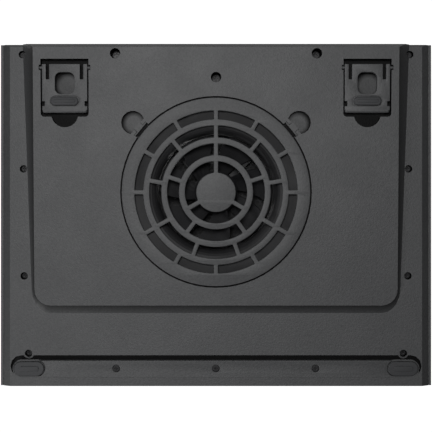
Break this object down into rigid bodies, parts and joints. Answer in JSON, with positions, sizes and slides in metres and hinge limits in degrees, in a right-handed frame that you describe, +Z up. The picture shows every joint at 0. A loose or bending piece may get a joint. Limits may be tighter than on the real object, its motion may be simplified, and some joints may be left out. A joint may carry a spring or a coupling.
{
  "type": "laptop cooling pad",
  "caption": "Wedge-shaped laptop cooling pad with one large fan under a round clip-in grille, flip-out rear feet and a rubber-tipped front rail.",
  "frame": {"origin": "on the table, under the middle of the pad's bounding box", "axes": "+X across the pad's width, +Y towards its rear edge, +Z up"},
  "size_m": [0.38, 0.3, 0.0373],
  "materials": {
    "case_plastic": "fine-grained charcoal moulding",
    "fan_plastic": "smooth black moulding",
    "black_plastic": "smooth black",
    "rubber": "matte dark rubber",
    "steel": "plated steel",
    "black_zinc": "black zinc plating",
    "steel_mesh": "black powder coat",
    "brass": "sintered",
    "magnet": "matte bonded ferrite",
    "circuit_board": "green solder mask",
    "lead_sheath": "black sheath"
  },
  "bodies": {
    "pad": {"bottom_cover": "case_plastic", "top_cover": "case_plastic", "top_mesh": "steel_mesh", "grip_strip_left": "rubber", "grip_strip_right": "rubber", "front_rail": "case_plastic", "front_pad_left": "rubber", "front_pad_right": "rubber", "fan_frame": "fan_plastic", "fan_stator": "steel", "fan_bearing": "brass", "fan_board": "circuit_board", "usb_board": "circuit_board", "usb_socket": "steel", "switch_body": "black_plastic", "fan_lead": "lead_sheath", "fan_screw_1": "black_zinc", "fan_screw_2": "black_zinc", "fan_screw_3": "black_zinc", "fan_screw_4": "black_zinc", "side_screw_1": "black_zinc", "side_screw_2": "black_zinc", "side_screw_3": "black_zinc", "side_screw_4": "black_zinc", "side_screw_5": "black_zinc", "side_screw_6": "black_zinc", "side_screw_7": "black_zinc", "side_screw_8": "black_zinc", "panel_screw_1": "black_zinc", "panel_screw_2": "black_zinc", "panel_screw_3": "black_zinc", "rail_screw_1": "black_zinc", "rail_screw_2": "black_zinc", "rail_screw_3": "black_zinc"},
    "foot_left": {"foot_left": "case_plastic", "foot_pad_left": "rubber"},
    "foot_right": {"foot_right": "case_plastic", "foot_pad_right": "rubber"},
    "fan_cover": {"fan_cover": "case_plastic"},
    "latch_left": {"cover_latch_left": "case_plastic"},
    "latch_right": {"cover_latch_right": "case_plastic"},
    "impeller": {"impeller": "fan_plastic", "fan_shaft": "steel", "rotor_magnet": "magnet"},
    "switch_slider": {"switch_slider": "black_plastic"}
  },
  "joints": [
    {"name": "impeller_spin", "type": "hinge", "parent": "pad", "child": "impeller", "pos_m": [0, 0.0203, 0.0155], "axis": [0, 0, 1], "continuous": true},
    {"name": "foot_left_fold", "type": "hinge", "parent": "pad", "child": "foot_left", "pos_m": [-0.1315, 0.1286, 0.0047], "axis": [1, 0, 0], "range_deg": [0, 100]},
    {"name": "foot_right_fold", "type": "hinge", "parent": "pad", "child": "foot_right", "pos_m": [0.1315, 0.1286, 0.0047], "axis": [1, 0, 0], "range_deg": [0, 100]},
    {"name": "fan_cover_lift", "type": "slide", "parent": "pad", "child": "fan_cover", "axis": [0, 0, -1], "range_m": [0, 0.02]},
    {"name": "latch_left_press", "type": "slide", "parent": "fan_cover", "child": "latch_left", "axis": [0.766, -0.6428, 0], "range_m": [0, 0.0014], "stiffness_N_per_m": 1500},
    {"name": "latch_right_press", "type": "slide", "parent": "fan_cover", "child": "latch_right", "axis": [-0.766, -0.6428, 0], "range_m": [0, 0.0014], "stiffness_N_per_m": 1500},
    {"name": "switch_slide", "type": "slide", "parent": "pad", "child": "switch_slider", "axis": [1, 0, 0], "range_m": [0, 0.0025]}
  ]
}
